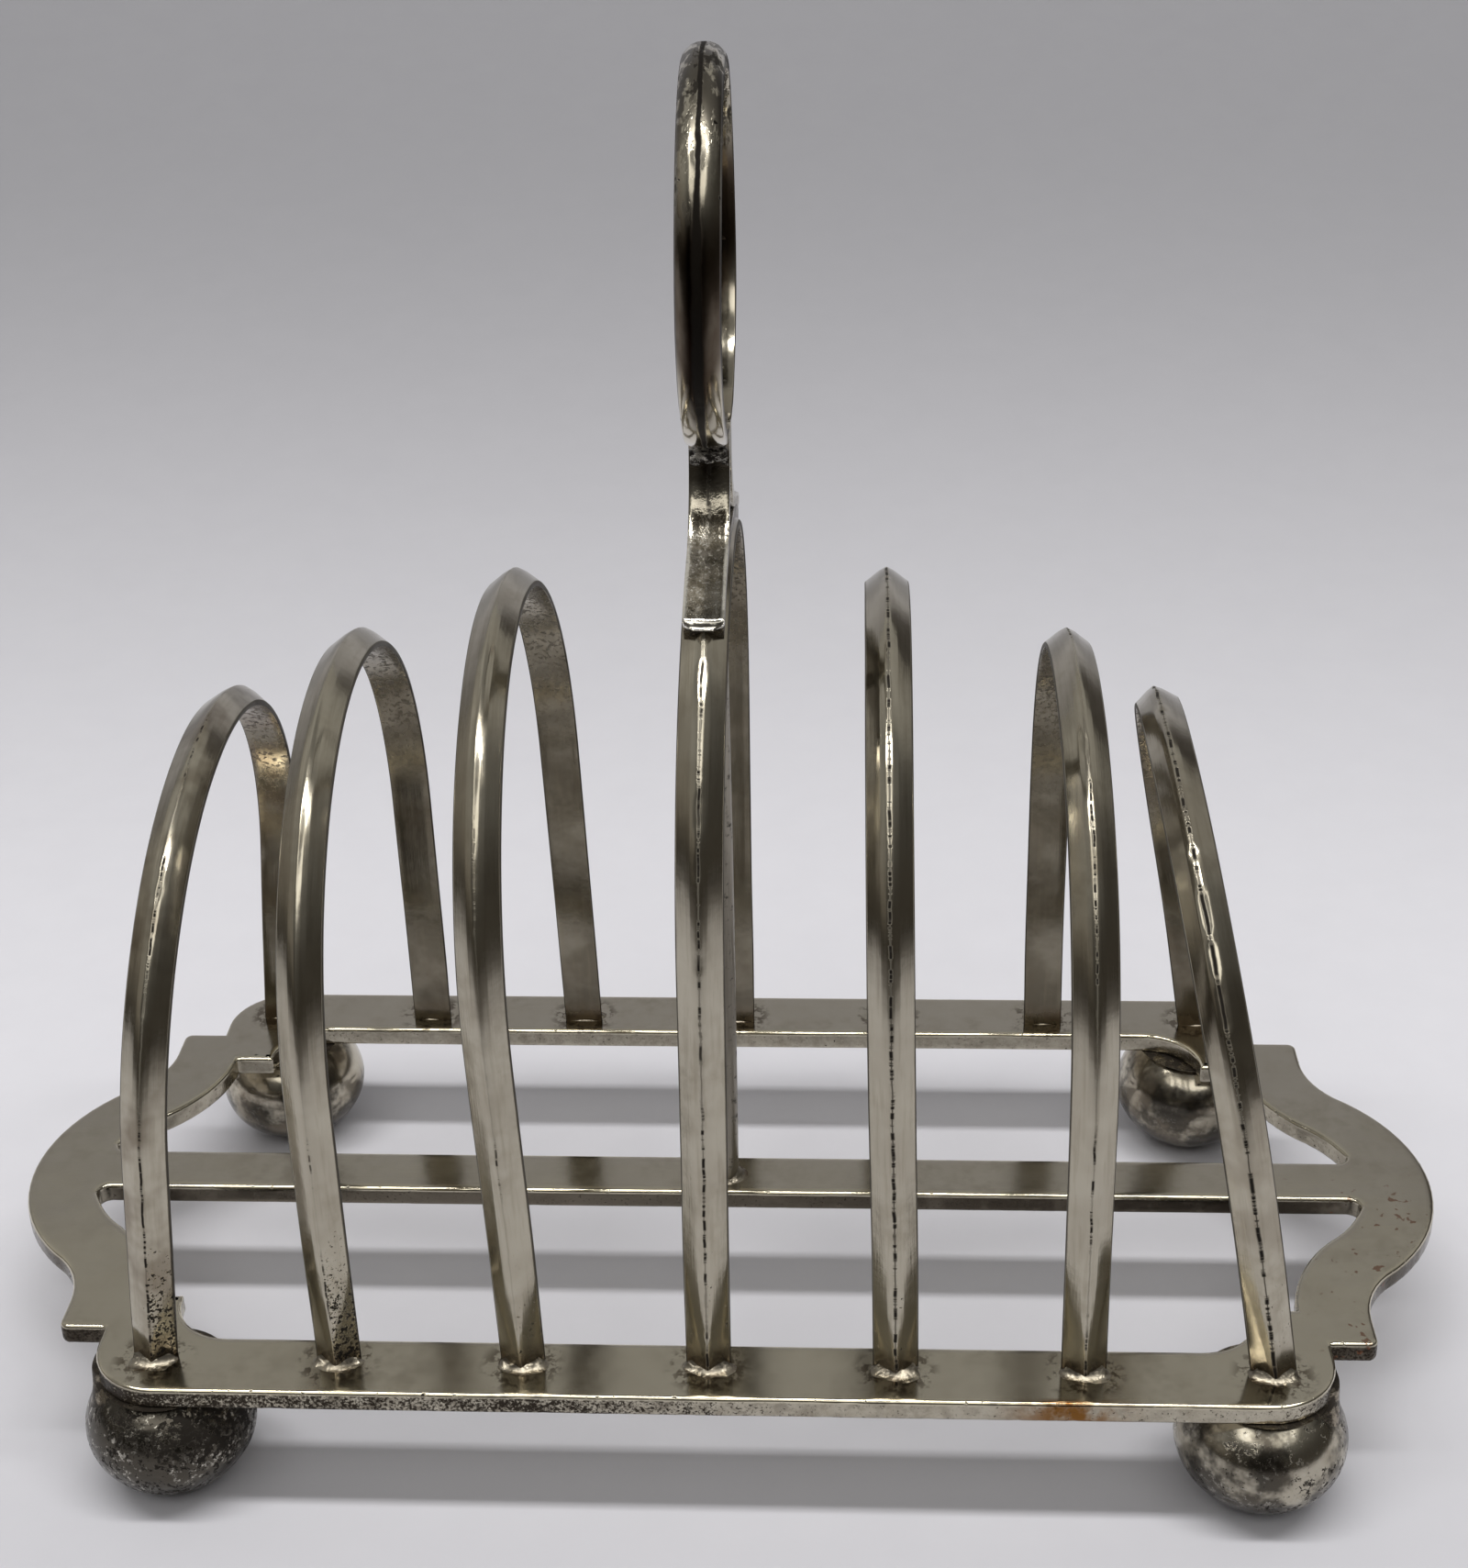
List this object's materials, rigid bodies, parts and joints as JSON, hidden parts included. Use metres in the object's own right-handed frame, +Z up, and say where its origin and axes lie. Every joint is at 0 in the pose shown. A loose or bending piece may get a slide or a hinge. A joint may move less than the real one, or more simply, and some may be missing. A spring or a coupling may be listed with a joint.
{
  "type": "toast rack",
  "caption": "Toast rack: a pierced plate on ball feet carries a row of ridged arched bars, highest in the middle, under a ring handle.",
  "frame": {"origin": "on the table under the middle of the rack, in the plane of the flats of the four ball feet", "axes": "+X runs along the rack, across the bars; +Y runs from the front rail to the back rail; +Z is up"},
  "size_m": [0.1832, 0.094, 0.1627],
  "materials": {
    "plate_silver": "worn silver plate, dull and pitted along its edges",
    "bar_silver": "worn silver plate, polished facets with a tarnished ridge",
    "handle_silver": "worn silver plate, tarnished brown on the sides of the ring",
    "foot_silver": "polished silver plate with dark specks",
    "post_metal": "dull, darkened rod",
    "stud_brass": "plain turned peg, hidden inside the joint",
    "solder": "smooth run solder, bright with brown stains at its rim"
  },
  "bodies": {
    "root": {"base_plate": "plate_silver", "bar_1": "bar_silver", "bar_2": "bar_silver", "bar_3": "bar_silver", "bar_4": "bar_silver", "bar_5": "bar_silver", "bar_6": "bar_silver", "bar_7": "bar_silver", "handle": "handle_silver", "centre_post": "post_metal", "foot_front_left": "foot_silver", "foot_front_right": "foot_silver", "foot_back_left": "foot_silver", "foot_back_right": "foot_silver", "foot_studs": "stud_brass", "bar_solder": "solder", "post_solder": "solder", "handle_solder": "solder", "foot_solder": "solder"}
  },
  "joints": []
}
